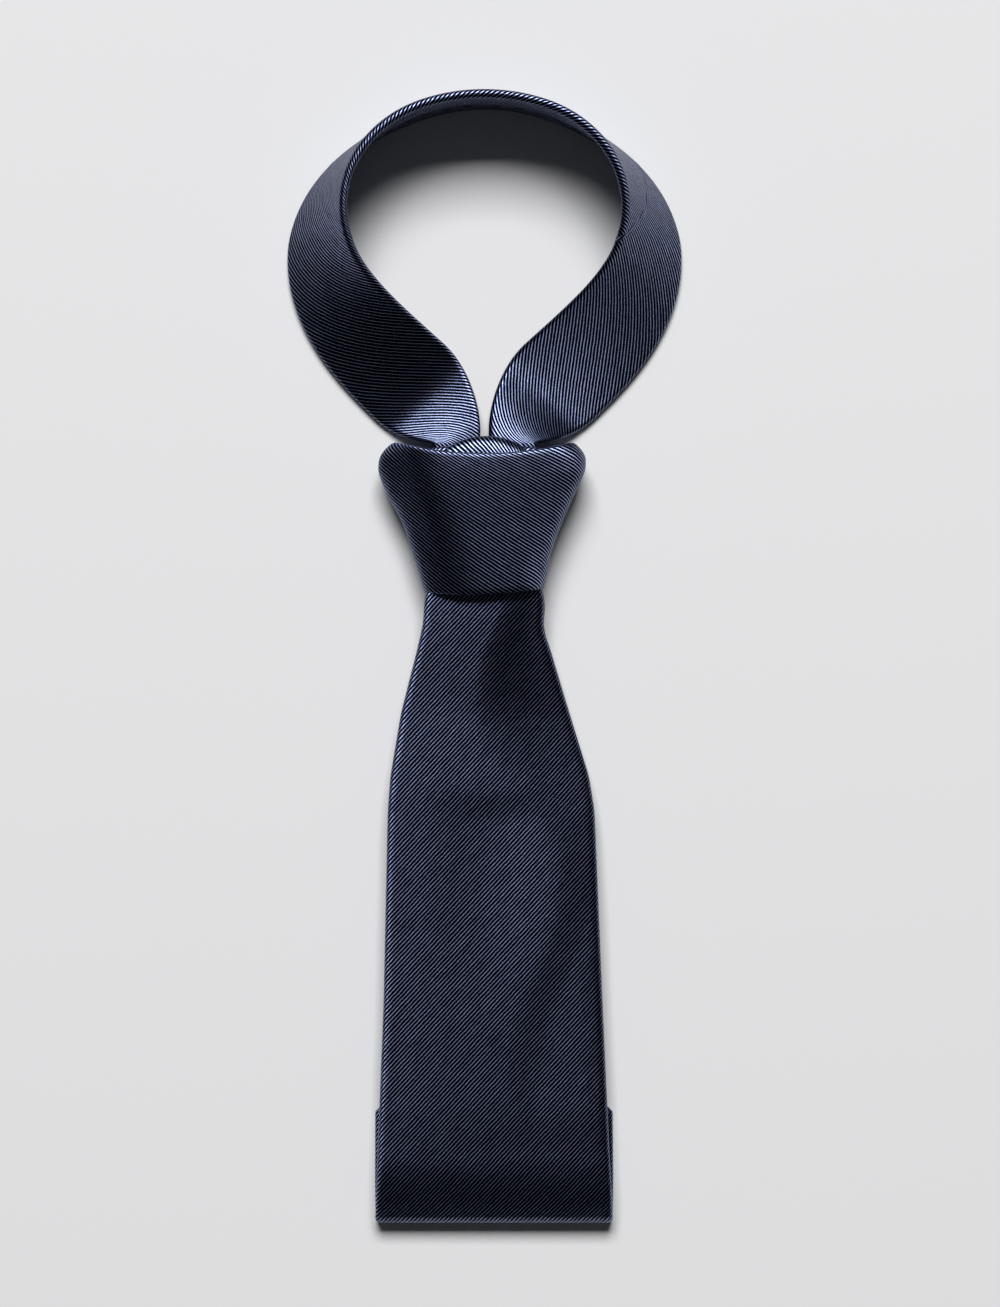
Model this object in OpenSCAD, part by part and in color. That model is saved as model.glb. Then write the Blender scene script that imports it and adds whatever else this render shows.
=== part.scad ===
// A necktie of navy twill, tied in a Windsor knot and laid flat, face up, with its end folded under.
// X runs across the tie, Y from the bottom fold up to the neck loop, and Z up from the surface.
// The origin is the middle of the footprint, on the surface.

/* [Overall] */
// Length as it lies, from the bottom fold to the back of the neck loop
tie_l = 392; // [386:1:400]
// Length of blade that shows below the knot
shown_l = 219; // [210:1:225]
// Thickness of a pressed length of tie: twill, interlining, twill
band_t = 3.2; // [2.8:0.1:3.4]
// Thickness of the twill
twill_t = 0.7; // [0.5:0.1:0.8]

/* [Knot] */
// Height of the knot, from its lower edge to its top edge
knot_l = 53; // [51:1:55]
// Width of the knot where it is widest, near its top corners
knot_w = 74; // [70:1:78]
// Width of the knot at its lower edge
knot_low_w = 41; // [40:1:42]
// Thickness of the knot, front to back
knot_t = 23; // [22.5:0.1:24]

/* [Blade] */
// Width of the blade at the bottom fold
blade_w = 83; // [80:1:86]
// Width of the blade where its point begins
tip_w = 83; // [81:1:85]
// Height of the middle of the blade's thickness where it lies flat
lie_z = 13.5; // [13:0.1:14]
// Length of the end that is folded under
under_l = 80; // [76:1:90]

/* [Tail] */
// Length of the tail below the knot
tail_l = 113; // [100:1:114]
// Width of the tail where its point begins
tail_w = 37; // [32:1:40]

/* [Neck loop] */
// Half the width of the loop, to the middle of the band
neck_rx = 57; // [55:1:59]
// How far the round back reaches behind the loop's widest place
neck_ry = 48; // [46:1:50]
// Width of the band around the neck
neck_w = 36; // [32:1:38]

/* [Hidden] */

NAVY = "#262c40";
LINING = "#1b2033";
WOOL = "#d9d4c6";
THREAD = "#39425c";
LABEL = "#12141c";

gap = 0.1;          // between the layers of one body
half_t = band_t / 2;
stitch_w = 1.2;
stitch_t = 0.35;

fold_y = -tie_l / 2;
back_y = tie_l / 2;
knot_y0 = fold_y + shown_l;
knot_y1 = knot_y0 + knot_l;

// ---- Small functions ----

function mix(a, b, t) = a + (b - a) * t;
function smooth(t) = let(c = max(0, min(1, t))) c * c * (3 - 2 * c);
function column(table, i) = [for (row = table) [row[0], row[i]]];
function steps(a, b, n) = [for (i = [0 : n]) mix(a, b, i / n)];
function arc_l(r, a) = r * a * PI / 180;

// ---- Ribbons ----
// A station is [middle point, across, normal, extent against across, extent along across],
// and across x normal points along the ribbon.

// The section between t0 and t1, drawn in by inset, with soft edges and a narrow strip down its
// back for the stitches to follow
function ring(st, t0, t1, inset) =
    let(
        low = inset - st[3],
        high = st[4] - inset,
        soft = min(0.4 * (t1 - t0), (high - low) / 3),
        middle = (low + high) / 2,
        strip = min(stitch_w / 2, (high - low) / 8),
        tm = (t0 + t1) / 2
    )
    [for (c = [[low + soft, t1], [low, tm], [low + soft, t0], [middle - strip, t0],
               [middle + strip, t0], [high - soft, t0], [high, tm], [high - soft, t1]])
        st[0] + c[0] * st[1] + c[1] * st[2]];

module skin(rings) {
    n = len(rings[0]);
    last = len(rings) - 1;
    polyhedron(
        points = [for (r = rings) each r],
        faces = concat(
            [[for (k = [0 : n - 1]) k]],
            [for (i = [0 : last - 1], k = [0 : n - 1], half = [0, 1])
                let(a = i * n + k, b = i * n + (k + 1) % n)
                half == 0 ? [a, a + n, b + n] : [a, b + n, b]],
            [[for (k = [n - 1 : -1 : 0]) last * n + k]]
        ),
        convexity = 6
    );
}

module ribbon(stations, t0, t1, inset = 0) {
    skin([for (st = stations) ring(st, t0, t1, inset)]);
}

// The same stations with one more beyond each end
function moved(st, by) = concat([st[0] + by * cross(st[1], st[2])], [for (i = [1 : 4]) st[i]]);
function longer(stations) =
    concat([moved(stations[0], -1)], stations, [moved(stations[len(stations) - 1], 1)]);

// The twill wrapped round the interlining
module sleeve(stations) {
    difference() {
        ribbon(stations, -half_t, half_t);
        ribbon(longer(stations), twill_t - half_t, half_t - twill_t, twill_t);
    }
}

// The same, with a groove down its back for the stitches
module grooved_sleeve(stations) {
    difference() {
        sleeve(stations);
        groove(longer(stations));
    }
}

module interlining(stations) {
    ribbon(stations, twill_t - half_t + gap, half_t - twill_t - gap, twill_t + 0.6);
}

function middle_line(stations, half_w) =
    [for (st = stations)
        let(m = (st[4] - st[3]) / 2)
        [st[0] + m * st[1], st[1], st[2], half_w, half_w]];

module groove(stations) {
    ribbon(middle_line(stations, stitch_w / 2 + gap), -half_t - gap, stitch_t - half_t + gap);
}

// The line of slip stitches that closes the back
module stitching(stations) {
    ribbon(middle_line(stations, stitch_w / 2), -half_t, stitch_t - half_t);
}

// ---- Blade ----

hinge_gap = 1.3;    // below the knot's lower edge
fold_r = 42;        // the long bend before the fold
fold_a = 30;        // and the angle it turns through
turn_a = 180 - fold_a;
turn_r = (lie_z - fold_r * (1 - cos(fold_a)) - half_t) / (1 + cos(fold_a));
bend_y = fold_y + half_t + fold_r * sin(fold_a) + turn_r * (1 - sin(fold_a));
bend_l = arc_l(fold_r, fold_a);
turn_l = arc_l(turn_r, turn_a);
turn_y = bend_y - fold_r * sin(fold_a) + turn_r * sin(fold_a);
turn_z = half_t + turn_r;
exit_rise = 1.1;
exit_run = 45;
fold_gap = 1;

// [distance below the knot, extent to the left, extent to the right]
blade_outline = [
    [0, 20.5, 20.9], [7, 21, 20.3], [19, 23.5, 23.1], [41, 29, 29.7], [63, 32.8, 36.6],
    [75, 33.5, 38.3], [141, 35, 41], [191, 37, 43.3], [shown_l, blade_w * 0.46, blade_w * 0.54]
];
point_l = tip_w / 2;
tip_x = (0.54 - 0.46) / 2 * blade_w;

function blade_z(y) = lie_z + exit_rise * smooth((y - knot_y0 + exit_run) / exit_run);
function blade_station(y) =
    [[0, y, blade_z(y)], [1, 0, 0], [0, 0, 1],
     lookup(knot_y0 - y, column(blade_outline, 1)), lookup(knot_y0 - y, column(blade_outline, 2))];

// Middle of the cloth at distance s past the start of the bend, and how far it has turned
function fold_turn(s) =
    s < bend_l ? s / bend_l * fold_a : min(180, fold_a + (s - bend_l) / turn_l * turn_a);
function fold_point(s) =
    let(a = fold_turn(s))
    s < bend_l ? [0, bend_y - fold_r * sin(a), lie_z - fold_r * (1 - cos(a))]
    : s < bend_l + turn_l ? [0, turn_y - turn_r * sin(a), turn_z + turn_r * cos(a)]
    : [0, turn_y + s - bend_l - turn_l, half_t];

flat_s = bend_l + turn_l;
end_s = flat_s + fold_y + under_l - turn_y;
point_s = end_s - point_l;
function end_extent(s, shown) =
    let(side = mix(lookup(knot_y0 - bend_y, column(blade_outline, shown)),
                   tip_w / 2 + (shown == 1 ? -tip_x : tip_x), min(1, s / point_s)),
        middle = shown == 1 ? -tip_x : tip_x)
    s < point_s ? side : middle + (tip_w / 2) * (1 - (s - point_s) / point_l) + 0.4;
function fold_station(s) =
    let(a = fold_turn(s))
    [fold_point(s), [1, 0, 0], [0, -sin(a), cos(a)], end_extent(s, 1), end_extent(s, 2)];

blade_top = knot_y0 - hinge_gap;
bend_s = bend_l / 2;                        // where the blade hinges into the fold
split_s = bend_l + turn_l * 0.5;            // where the fold hinges into the end

blade_run = concat(
    [for (y = steps(blade_top, bend_y, 16)) blade_station(y)],
    [for (s = steps(0.5, bend_s - fold_gap, 4)) fold_station(s)]
);
fold_run = [for (s = steps(bend_s + fold_gap, split_s - fold_gap, 12)) fold_station(s)];

// The end's lining shows in a V between the two back flaps of the shell
open_l = 62;
tack_s = point_s - open_l + point_l;
function end_part(from_s, to_s, n) = [for (s = steps(from_s, to_s, n)) fold_station(s)];
seamed_run = concat(end_part(split_s + fold_gap, flat_s, 6), end_part(flat_s + 1, tack_s, 3));
open_run = concat(end_part(tack_s + 1, point_s, 4), end_part(point_s + 2, end_s - 0.2, 5));
end_run = concat(seamed_run, open_run);
function open_v(from_s, to_s) =
    [for (s = steps(from_s, to_s, 6))
        let(st = fold_station(s),
            half = 1.5 + (s - from_s) / open_l * (tip_w / 2 - 5),
            m = (st[4] - st[3]) / 2)
        [st[0] + m * st[1], st[1], st[2], half, half]];

module blade_shell() {
    color(NAVY) grooved_sleeve(blade_run);
}

module blade_interlining() {
    color(WOOL) interlining(blade_run);
}

module blade_slip_stitch() {
    color(THREAD) stitching(blade_run);
}

keeper_y = knot_y0 - 109;
keeper_l = 12;
keeper_w = 56;
keeper_t = 0.7;
keeper_drop = 1.6;
module keeper_loop() {
    under = blade_z(keeper_y) - half_t;
    middle = (lookup(109, column(blade_outline, 2)) - lookup(109, column(blade_outline, 1))) / 2;
    color(NAVY)
    translate([middle, keeper_y, under - keeper_drop])
        rotate([90, 0, 0])
            linear_extrude(height = keeper_l, center = true)
                difference() {
                    translate([-keeper_w / 2, -keeper_t]) square([keeper_w, keeper_drop + keeper_t]);
                    translate([-keeper_w / 2 + 3, 0]) square([keeper_w - 6, keeper_drop + 1]);
                }
}

module keeper_tacks() {
    under = blade_z(keeper_y) - half_t;
    middle = (lookup(109, column(blade_outline, 2)) - lookup(109, column(blade_outline, 1))) / 2;
    color(THREAD)
    for (side = [-1, 1])
        translate([middle + side * (keeper_w / 2 - 1.5), keeper_y, under - keeper_drop - keeper_t - 0.2])
            cube([1, keeper_l - 2, 0.4], center = true);
}

label_size = [46, 22, 0.4];
module blank_label() {
    y = keeper_y - 34;
    middle = (lookup(knot_y0 - y, column(blade_outline, 2))
              - lookup(knot_y0 - y, column(blade_outline, 1))) / 2;
    color(LABEL)
    translate([middle, y, blade_z(y) - half_t - label_size[2] / 2])
        cube(label_size, center = true);
}

// ---- Fold and end ----

module fold_shell() {
    color(NAVY) grooved_sleeve(fold_run);
}

module fold_interlining() {
    color(WOOL) interlining(fold_run);
}

module fold_slip_stitch() {
    color(THREAD) stitching(fold_run);
}

module blade_end_shell() {
    color(NAVY)
    difference() {
        ribbon(end_run, -half_t, half_t);
        ribbon(concat([moved(end_run[0], -1)], [for (st = end_run) if (st[3] > 3) st]),
               twill_t - half_t, half_t - twill_t, twill_t);
        groove(concat([moved(end_run[0], -1)], seamed_run));
        ribbon(open_v(tack_s, point_s + 12), -half_t - gap, -half_t + twill_t + gap);
    }
}

module blade_end_interlining() {
    color(WOOL)
    interlining([for (st = end_run) if (st[3] > 6) st]);
}

module blade_tipping() {
    color(LINING)
    ribbon(open_v(tack_s + 1, point_s + 11.5), -half_t + 0.3, -half_t + twill_t - gap, gap);
}

module blade_end_slip_stitch() {
    color(THREAD) stitching(seamed_run);
}

module blade_bar_tack() {
    color(THREAD)
    translate([tip_x, fold_point(tack_s)[1], band_t + 0.2])
        cube([7, 1.4, 0.4], center = true);
}

tag_size = [18, 26, 0.3];
module care_tag() {
    color(LABEL)
    translate([tip_x + 22, turn_y + 22, band_t + tag_size[2] / 2])
        cube(tag_size, center = true);
}

// ---- Tail ----

tail_top = knot_y0 - 5;
pass_low = knot_y0 - 2.8;
pass_high = knot_y0 + 37;
tail_knot_w = 24;
tail_in_z = 5;
tail_tip_y = knot_y0 - tail_l;
tail_point_l = tail_w / 2;
tail_drop_y = knot_y0 - 29;
tail_flat_y = knot_y0 - 57;

function tail_z(y) = mix(half_t, tail_in_z, smooth((y - tail_flat_y) / (tail_drop_y - tail_flat_y)));
function tail_half(y) =
    let(shoulder = tail_tip_y + tail_point_l,
        k = (knot_y0 - y) / (knot_y0 - shoulder))
    y > shoulder ? mix(tail_knot_w, tail_w, min(1, max(0, k))) / 2
    : tail_w / 2 * (y - tail_tip_y) / tail_point_l + 0.4;
function tail_station(y) = [[0, y, tail_z(y)], [1, 0, 0], [0, 0, 1], tail_half(y), tail_half(y)];
tail_tack_y = tail_tip_y + 34;
tail_open_low = tail_tip_y + 9;
function tail_part(from_y, to_y, n) = [for (y = steps(from_y, to_y, n)) tail_station(y)];
tail_seamed_run = tail_part(tail_top, tail_tack_y + 2, 14);
tail_run = concat(
    tail_seamed_run,
    tail_part(tail_tack_y, tail_tip_y + tail_point_l, 2),
    tail_part(tail_tip_y + tail_point_l - 1, tail_tip_y + 0.2, 4)
);
function tail_v(from_y, to_y) =
    [for (y = steps(from_y, to_y, 5))
        let(half = 1 + (tail_tack_y - y) / (tail_tack_y - tail_open_low) * 4.5)
        [[0, y, tail_z(y)], [1, 0, 0], [0, 0, 1], half, half]];

module tail_shell() {
    color(NAVY)
    difference() {
        ribbon(tail_run, -half_t, half_t);
        ribbon(concat([moved(tail_run[0], -1)], [for (st = tail_run) if (st[3] > 3) st]),
               twill_t - half_t, half_t - twill_t, twill_t);
        groove(concat([moved(tail_run[0], -1)], tail_seamed_run));
        ribbon(tail_v(tail_tack_y + 1.5, tail_open_low), -half_t - gap, -half_t + twill_t + gap);
    }
}

module tail_interlining() {
    color(WOOL)
    interlining([for (st = tail_run) if (st[3] > 5) st]);
}

module tail_tipping() {
    color(LINING)
    ribbon(tail_v(tail_tack_y - 1, tail_open_low + 0.5), -half_t + 0.3, -half_t + twill_t - gap, gap);
}

module tail_slip_stitch() {
    color(THREAD) stitching(tail_seamed_run);
}

module tail_bar_tack() {
    color(THREAD)
    ribbon([for (y = [tail_tack_y + 1.2, tail_tack_y]) concat([tail_station(y)[0]],
               [[1, 0, 0], [0, 0, 1], stitch_w / 2, stitch_w / 2])],
           -half_t, stitch_t - half_t);
}

// The tail's cloth inside the knot
module tail_knot_pass() {
    color(NAVY)
    ribbon([for (y = steps(pass_high, pass_low, 4))
               [[0, y, tail_in_z], [1, 0, 0], [0, 0, 1], tail_knot_w / 2, tail_knot_w / 2]],
           -half_t, half_t);
}

// ---- Neck loop ----
// Distance d runs from the leg's end inside the knot, past the side, to the middle of the back.

leg_x = 10;
leg_y = knot_y0 + 13;
leg_w = 16;
leg_z = 9.1;
loop_y = back_y - half_t - neck_ry;     // where the loop is widest
leg_l = knot_y1 - leg_y;
sweep_l = 86;
arc_start = leg_l + sweep_l;
arc_run = arc_l(sqrt((neck_rx * neck_rx + neck_ry * neck_ry) / 2), 90);
loop_l = arc_start + arc_run;
spread_l = 38;

function bezier(p, t) =
    pow(1 - t, 3) * p[0] + 3 * t * pow(1 - t, 2) * p[1] + 3 * t * t * (1 - t) * p[2] + pow(t, 3) * p[3];
function half_loop(d) =
    d < leg_l ? [-leg_x, leg_y + d]
    : d < arc_start ? bezier([[-leg_x, knot_y1], [-leg_x, knot_y1 + 16],
                              [-neck_rx, loop_y - 34], [-neck_rx, loop_y]], (d - leg_l) / sweep_l)
    : let(a = (d - arc_start) / arc_run * 90) [-neck_rx * cos(a), loop_y + neck_ry * sin(a)];
function tilt(d) = 90 * smooth((d - leg_l - 6) / (loop_l - leg_l - 26));
function band_w(d) = mix(leg_w, neck_w, smooth((d - leg_l + 4) / spread_l));
function band_z(d) =
    max(band_w(d) / 2 * sin(tilt(d)) + half_t * cos(tilt(d)),
        leg_z * (1 - smooth((d - leg_l) / spread_l)));
function loop_station(d) =
    let(p = half_loop(d),
        step = half_loop(d + 0.5) - half_loop(d - 0.5),
        along = step / norm(step),
        out = [-along[1], along[0], 0],
        a = tilt(d))
    [[p[0], p[1], band_z(d)], cos(a) * out - [0, 0, sin(a)], cos(a) * [0, 0, 1] + sin(a) * out,
     band_w(d) / 2, band_w(d) / 2];

// The same station on the other side, with the ribbon still running the same way
function other_side(st) =
    [[-st[0][0], st[0][1], st[0][2]], [-st[1][0], st[1][1], st[1][2]],
     [-st[2][0], st[2][1], st[2][2]], st[3], st[4]];
seam_d = arc_start + 14;
seam_l = 1.2;
side_run = [for (d = steps(0, seam_d - seam_l / 2, 34)) loop_station(d)];
back_half = [for (d = steps(seam_d + seam_l / 2, loop_l - 0.6, 12)) loop_station(d)];
function backwards(list) = [for (i = [len(list) - 1 : -1 : 0]) list[i]];
function both_sides(stations) =
    concat(stations, [for (st = backwards(stations)) other_side(st)]);
seam_run = [side_run[len(side_run) - 1], back_half[0]];

module neck_shell() {
    color(NAVY) sleeve(both_sides(back_half));
}

module blade_side_band_shell() {
    color(NAVY) sleeve(side_run);
}

module tail_side_band_shell() {
    color(NAVY) mirror([1, 0, 0]) sleeve(side_run);
}

module neck_interlining() {
    color(WOOL) interlining(both_sides(concat(side_run, back_half)));
}

// Where the cut lengths of twill are joined: a ridge of turned-in cloth round the band
module left_join_seam() {
    color(THREAD) sleeve(seam_run);
}

module right_join_seam() {
    color(THREAD) mirror([1, 0, 0]) sleeve(seam_run);
}

module neck_slip_stitch() {
    outside = [for (st = side_run) if (st[0][1] > knot_y1 + 8) st];
    color(THREAD)
    ribbon(middle_line(both_sides(concat(outside, back_half)), stitch_w / 2),
           -half_t - stitch_t - gap, -half_t - gap);
}

// ---- Knot ----

wrap_t = 2.6;
knot_lining_t = 1.4;
split_z = 9;
knot_sides = 40;
// [height above the lower edge, extent to the left, extent to the right, thickness]
knot_outline = [
    [0, knot_low_w / 2, knot_low_w / 2 - 0.2, knot_t - 2.5],
    [4, knot_low_w / 2 + 1.5, knot_low_w / 2 + 0.7, knot_t - 1.5],
    [13, 24.5, 22.6, knot_t - 0.5],
    [24, 28, 26.4, knot_t],
    [35, 34.4, 31.6, knot_t],
    [43, knot_w / 2 + 1, knot_w / 2 - 1, knot_t - 1],
    [49, knot_w / 2, knot_w / 2 - 1, knot_t - 2],
    [knot_l, 31, 30, knot_t - 4.5]
];

function bow(v, power) = sign(v) * pow(abs(v), 2 / power);
function knot_ring(row, inset, y) =
    let(middle = (row[2] - row[1]) / 2,
        half = (row[1] + row[2]) / 2 - inset,
        high = row[3] / 2)
    [for (i = [0 : knot_sides - 1])
        let(a = -(i + 0.5) * 360 / knot_sides, power = sin(a) > 0 ? 2.5 : 5)
        [middle + half * bow(cos(a), power), y, high + (high - inset) * bow(sin(a), power)]];

module knot_form(inset, longer = 0) {
    rows = concat(
        longer > 0 ? [concat([-longer], [for (i = [1 : 3]) knot_outline[0][i]])] : [],
        knot_outline,
        longer > 0 ? [concat([knot_l + longer], [for (i = [1 : 3]) knot_outline[7][i]])] : []
    );
    skin([for (row = rows) knot_ring(row, inset, knot_y0 + row[0])]);
}

module above(z) {
    translate([-60, knot_y0 - 10, z]) cube([120, knot_l + 20, 40]);
}

module below(z) {
    translate([-60, knot_y0 - 10, z - 40]) cube([120, knot_l + 20, 40]);
}

module knot_front_wrap() {
    color(NAVY)
    intersection() {
        difference() {
            knot_form(0);
            knot_form(wrap_t, 2);
        }
        above(split_z);
    }
}

module knot_back_wrap() {
    color(NAVY)
    intersection() {
        difference() {
            knot_form(0);
            knot_form(wrap_t, 2);
        }
        below(split_z);
    }
}

module knot_interlining() {
    color(WOOL)
    intersection() {
        difference() {
            knot_form(wrap_t + gap);
            knot_form(wrap_t + knot_lining_t, 2);
        }
        above(split_z);
    }
}

// The cloth that goes round each leg of the loop fills the sides of the knot
side_fill_x = 20.5;
module knot_side_wrap(side) {
    intersection() {
        knot_form(wrap_t + knot_lining_t + gap);
        translate([side > 0 ? side_fill_x : -side_fill_x - 40, knot_y0 + 18, 0])
            cube([40, knot_l - 20, 40]);
    }
}

module knot_left_wrap() {
    color(NAVY) knot_side_wrap(-1);
}

module knot_right_wrap() {
    color(NAVY) knot_side_wrap(1);
}

pass_z = 11.6;
pass_t = 3.6;
module knot_centre_pass() {
    color(NAVY)
    intersection() {
        knot_form(wrap_t + knot_lining_t + gap);
        translate([-18, knot_y0 + 1, pass_z]) cube([36, knot_l - 3, pass_t]);
    }
}

neck_shell();
blade_side_band_shell();
tail_side_band_shell();
neck_interlining();
left_join_seam();
right_join_seam();
neck_slip_stitch();
tail_knot_pass();
tail_shell();
tail_interlining();
tail_tipping();
tail_slip_stitch();
tail_bar_tack();
knot_front_wrap();
knot_back_wrap();
knot_interlining();
knot_left_wrap();
knot_right_wrap();
knot_centre_pass();
blade_shell();
blade_interlining();
blade_slip_stitch();
keeper_loop();
keeper_tacks();
blank_label();
fold_shell();
fold_interlining();
fold_slip_stitch();
blade_end_shell();
blade_end_interlining();
blade_tipping();
blade_end_slip_stitch();
blade_bar_tack();
care_tag();
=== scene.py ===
import math

import bpy
import numpy as np
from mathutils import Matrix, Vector


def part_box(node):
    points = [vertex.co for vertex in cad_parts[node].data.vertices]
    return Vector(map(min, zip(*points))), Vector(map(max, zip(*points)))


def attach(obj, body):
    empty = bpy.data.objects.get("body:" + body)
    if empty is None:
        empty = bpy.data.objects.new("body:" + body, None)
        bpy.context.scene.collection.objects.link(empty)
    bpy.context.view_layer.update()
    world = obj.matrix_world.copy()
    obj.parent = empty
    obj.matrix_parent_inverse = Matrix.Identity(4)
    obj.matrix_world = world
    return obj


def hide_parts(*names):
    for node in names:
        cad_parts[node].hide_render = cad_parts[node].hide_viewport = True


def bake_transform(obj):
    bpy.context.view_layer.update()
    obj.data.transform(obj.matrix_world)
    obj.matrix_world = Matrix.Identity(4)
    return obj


# A navy ribbed necktie in a Windsor knot, laid flat, face up. Lengths below are in millimetres, unless
# a name ends in _M; meshes are in metres. s is the distance down the blade from the knot's lower edge.
MM = 0.001

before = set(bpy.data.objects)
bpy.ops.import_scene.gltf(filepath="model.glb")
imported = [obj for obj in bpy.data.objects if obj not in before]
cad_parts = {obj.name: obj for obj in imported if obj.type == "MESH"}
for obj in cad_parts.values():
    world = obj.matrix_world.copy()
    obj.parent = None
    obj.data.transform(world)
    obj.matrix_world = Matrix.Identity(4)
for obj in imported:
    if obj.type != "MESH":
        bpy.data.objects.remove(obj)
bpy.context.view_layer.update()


def low(node):
    return np.array(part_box(node)[0]) / MM


def high(node):
    return np.array(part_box(node)[1]) / MM


# ---- Places, from the CAD nodes ----

HALF = 1.6  # half the thickness of a pressed length of tie
CLOTH_T = 0.45  # thickness of the twill
SATIN_T = 0.2  # thickness of the lining
LINING_IN = 0.62  # depth of the lining under the back's surface
STITCH_R = 0.24  # radius of the slip stitches' thread
BLADE_LAP = 4.0  # how far the flaps overlap at the back, each way
TAIL_LAP = 3.0
LEAST_Z = 0.03  # the loop's cloth stays this far above the floor
FOLD_Y = low("fold_shell")[1]
KNOT_LOW = low("knot_front_wrap")[1]
KNOT_HIGH = high("knot_front_wrap")[1]
KNOT_H = KNOT_HIGH - KNOT_LOW
KNOT_TOP = high("knot_front_wrap")[2]
KNOT_SPLIT = low("knot_front_wrap")[2]
LOOP_BACK = high("neck_shell")[1]
TAIL_TIP = low("tail_shell")[1]
TIP_Y = high("blade_end_shell")[1]
LIE_Z = 13.5  # middle of the blade's thickness where it lies flat
EXIT_RISE = 1.1  # the blade lies higher where it leaves the knot,
EXIT_L = 45  # over this length

# ---- The blade's path: flat, a long bend of 30 degrees, a tight turn of 150 degrees, flat ----

BEND_R = 42.0
BEND_A = math.radians(30)
TURN_R = (LIE_Z - BEND_R * (1 - math.cos(BEND_A)) - HALF) / (1 + math.cos(BEND_A))
BEND_Y = FOLD_Y + HALF + BEND_R * math.sin(BEND_A) + TURN_R * (1 - math.sin(BEND_A))
BEND_S = KNOT_LOW - BEND_Y
BEND_L = BEND_R * BEND_A
TURN_L = TURN_R * (math.pi - BEND_A)
TURN_Y = BEND_Y - BEND_R * math.sin(BEND_A) + TURN_R * math.sin(BEND_A)
SPLIT_S = BEND_S + BEND_L
FLAT_S = SPLIT_S + TURN_L
END_S = FLAT_S + TIP_Y - TURN_Y
POINT_L = 41.5  # length of the blade's point
POINT_S = END_S - POINT_L
TIP_X = 3.32  # the point's tip, right of x = 0
TACK_S = END_S - 62  # where the flaps part
OPENING = 0.59  # how fast they part

# [distance below the knot's lower edge, extent to the left, extent to the right]
BLADE_OUTLINE = np.array([
    [-20, 18.0, 18.0], [-6, 19.6, 19.4], [0, 20.6, 20.6], [4, 21.0, 21.2], [9, 21.2, 20.6],
    [13, 22.0, 20.9], [19, 23.4, 23.0], [41, 29.0, 29.6], [63, 32.7, 36.4], [75, 33.6, 38.3],
    [141, 35.0, 41.0], [191, 37.0, 43.3], [216, 38.0, 44.7], [235, 38.3, 45.0], [257, 38.2, 44.8],
])


def smooth(t):
    t = np.clip(t, 0.0, 1.0)
    return t * t * (3 - 2 * t)


def spread(v, grid):
    """One value per row, as a grid."""
    return v[:, None] * np.ones_like(grid)


def table(rows, i, v, soft=2.0):
    """Column i of the table at v, with its corners softened over a length."""
    return sum(np.interp(v + k * soft, rows[:, 0], rows[:, i]) for k in (-1, -0.5, 0, 0.5, 1)) / 5


def blade_place(s):
    """Middle point (y, z) and turned angle of the blade's cloth at distance s below the knot."""
    lift = EXIT_RISE * smooth((EXIT_L - s) / EXIT_L)
    a = np.where(s < SPLIT_S, np.clip((s - BEND_S) / BEND_R, 0, BEND_A),
                 np.clip(BEND_A + (s - SPLIT_S) / TURN_R, 0, math.pi))
    y = np.where(s < BEND_S, KNOT_LOW - s,
                 np.where(s < SPLIT_S, BEND_Y - BEND_R * np.sin(a),
                          np.where(s < FLAT_S, TURN_Y - TURN_R * np.sin(a), TURN_Y + s - FLAT_S)))
    z = np.where(s < BEND_S, LIE_Z + lift,
                 np.where(s < SPLIT_S, LIE_Z - BEND_R * (1 - np.cos(a)),
                          np.where(s < FLAT_S, HALF + TURN_R + TURN_R * np.cos(a), HALF)))
    return y, z, a


def blade_extent(s, side):
    """How far the blade reaches to the left (1) or right (2) of x = 0."""
    wide = table(BLADE_OUTLINE, side, s)
    middle = -TIP_X if side == 1 else TIP_X
    point = middle + POINT_L * (1 - (s - POINT_S) / POINT_L) + 0.3
    return np.where(s < POINT_S, wide, np.minimum(wide, point))


# ---- Relief: how the blade's cloth rolls, swells and creases, added to z ----

def edge_roll(inside, width, drop):
    """An elliptical fall of the cloth towards its edge; inside is the distance in from the edge."""
    t = np.clip(1 - inside / np.maximum(width, 0.1), 0, 1)
    return -drop * (1 - np.sqrt(np.clip(1 - t * t * 0.985, 0, 1)))


def broad_fall(inside, width, drop):
    """A gentle fall that starts further in."""
    return -drop * np.clip(1 - inside / width, 0, 1) ** 2


# The cloth falls to the right over a line that wanders down the blade:
# [distance below the knot, x of the line, width of the fall, drop]
FALL_LINE = np.array([
    [-20, 15, 9, 0.3], [0, 13, 10, 0.8], [11, 9.5, 15, 1.7], [22, 8, 19, 2.6], [36, 9, 28, 3.8],
    [48, 14, 35, 4.4], [62, 22, 36, 4.3], [78, 30, 28, 2.9], [92, 32, 18, 1.3], [105, 32, 15, 0.8],
    [122, 27, 14, 0.6], [140, 19, 15, 0.65], [157, 15, 15, 0.5], [175, 13, 16, 0.3], [195, 12, 16, 0],
])


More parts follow.
